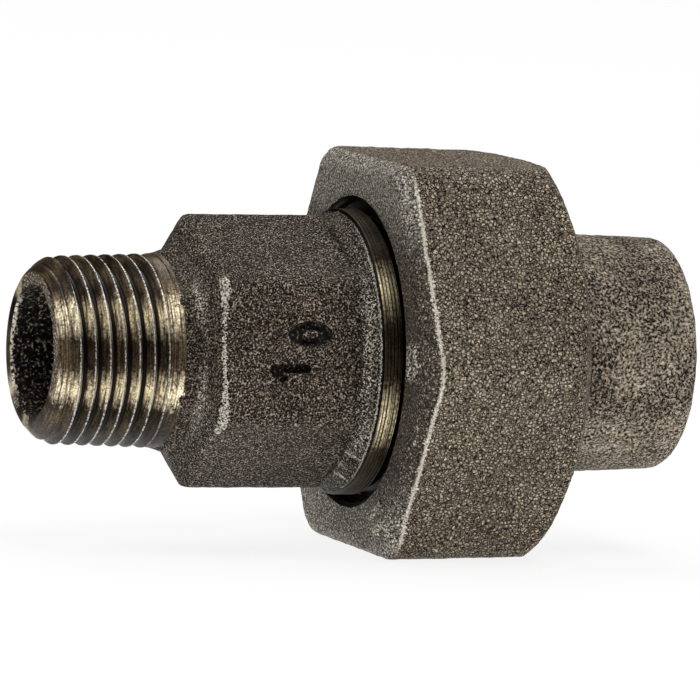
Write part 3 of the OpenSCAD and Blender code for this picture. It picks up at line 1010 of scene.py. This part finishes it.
# Studio: white sweep, softboxes, and black cloths round the set that only reflections see
studio = {"floorDrop": 0.05, "floorSize": 6.0, "floorColour": "#fafafa", "floorGlow": 0.86, "ambient": 0.42,
          "ringRadius": 1.3, "ringLow": -0.05, "ringHigh": 1.9, "clothColour": "#0d0c0b",
          "clothInner": 0.055, "clothOuter": 1.29, "clothLift": 0.4}
softboxes = [
    {"name": "keySoftbox", "from": (0.12, -0.38, 0.9), "size": 0.5, "watts": 4.3},
    {"name": "backSoftbox", "from": (0.1, 0.5, 0.85), "size": 0.5, "watts": 3.4},
    {"name": "leftSoftbox", "from": (-0.87, 0.25, 0.4), "size": 0.45, "watts": 2.6},
    {"name": "tableLamp", "from": (0.1, -0.55, -0.62), "size": 0.5, "watts": 2.5},
    {"name": "tableLampLeft", "from": (-0.75, 0.2, -0.6), "size": 0.5, "watts": 1.0},
]
white = (1, 1, 1, 1)
lowest = min(vertex.co.z for vertex in unionNut.data.vertices)


def addSoftbox(look):
    place = Vector(look["from"])
    bpy.ops.object.light_add(type="AREA", location=place, rotation=place.to_track_quat("Z", "Y").to_euler())
    lamp = bpy.context.object
    lamp.name = look["name"]
    lamp.data.size = look["size"]
    lamp.data.energy = look["watts"]


# One for rays that see a thing, straight or mirrored, and nought for rays that it lights
def seenShare(tree):
    ray = addNode(tree, "LightPath", {}).outputs
    seen = calc(tree, "MAXIMUM", ray["Is Camera Ray"], ray["Is Glossy Ray"])
    return calc(tree, "MAXIMUM", seen, ray["Is Transmission Ray"])


def addFloor(look):
    bpy.ops.object.select_all(action="DESELECT")
    height = lowest - look["floorDrop"] * mm
    bpy.ops.mesh.primitive_plane_add(size=look["floorSize"], location=(0, 0, height))
    floor = bpy.context.object
    floor.name = "floor"
    floor.visible_shadow = False  # the table lamps shine up through it
    material, tree, shader, place = newMaterial("paintedFloor")
    tree.nodes.clear()
    share = calc(tree, "MULTIPLY", seenShare(tree), look["floorGlow"])
    paint = addNode(tree, "BsdfDiffuse", {"Color": toLinear(look["floorColour"])}).outputs[0]
    glow = addNode(tree, "Emission", {"Color": white, "Strength": 1.0}).outputs[0]
    mixed = addNode(tree, "MixShader", {0: share, 1: paint, 2: glow}).outputs[0]
    addNode(tree, "OutputMaterial", {"Surface": mixed})
    floor.data.materials.append(material)


def hangCloth(piece, look):
    material, tree, shader, place = newMaterial("blackCloth")
    fillNode(tree, shader, {"Base Color": toLinear(look["clothColour"]), "Roughness": 1.0,
                            "Specular IOR Level": 0.0})
    piece.data.materials.append(material)
    piece.visible_camera = False
    piece.visible_diffuse = False
    piece.visible_shadow = False


def addCloths(look):
    bpy.ops.object.select_all(action="DESELECT")
    middle = (look["ringLow"] + look["ringHigh"]) / 2
    bpy.ops.mesh.primitive_cylinder_add(vertices=64, radius=look["ringRadius"], end_fill_type="NOTHING",
                                        depth=look["ringHigh"] - look["ringLow"], location=(0, 0, middle))
    bpy.context.object.name = "clothRound"
    hangCloth(bpy.context.object, look)
    # the floor cloth leaves the white floor bare close to the object
    low = lowest + look["clothLift"] * mm
    bpy.ops.object.select_all(action="DESELECT")
    bpy.ops.mesh.primitive_circle_add(vertices=64, radius=look["clothOuter"], location=(0, 0, low))
    cloth = bpy.context.object
    cloth.name = "clothFloor"
    startEdit(cloth)
    inner = look["clothInner"] / look["clothOuter"]
    bpy.ops.mesh.extrude_edges_move(TRANSFORM_OT_translate={"value": (0, 0, 0)})
    bpy.ops.transform.resize(value=(inner, inner, 1), center_override=(0, 0, low))
    endEdit()
    hangCloth(cloth, look)


def setWorld(look):
    world = bpy.data.worlds.new("studioWorld")
    bpy.context.scene.world = world
    world.use_nodes = True
    tree = world.node_tree
    tree.nodes.clear()
    dim = addNode(tree, "Background", {"Color": white, "Strength": look["ambient"]}).outputs[0]
    bright = addNode(tree, "Background", {"Color": white, "Strength": 1.0}).outputs[0]
    mixed = addNode(tree, "MixShader", {0: seenShare(tree), 1: dim, 2: bright}).outputs[0]
    addNode(tree, "OutputWorld", {"Surface": mixed})


addCamera(cameraLook)
addFloor(studio)
addCloths(studio)
setWorld(studio)
for box in softboxes:
    addSoftbox(box)
bpy.context.scene.view_settings.view_transform = "Standard"
print("studio set")
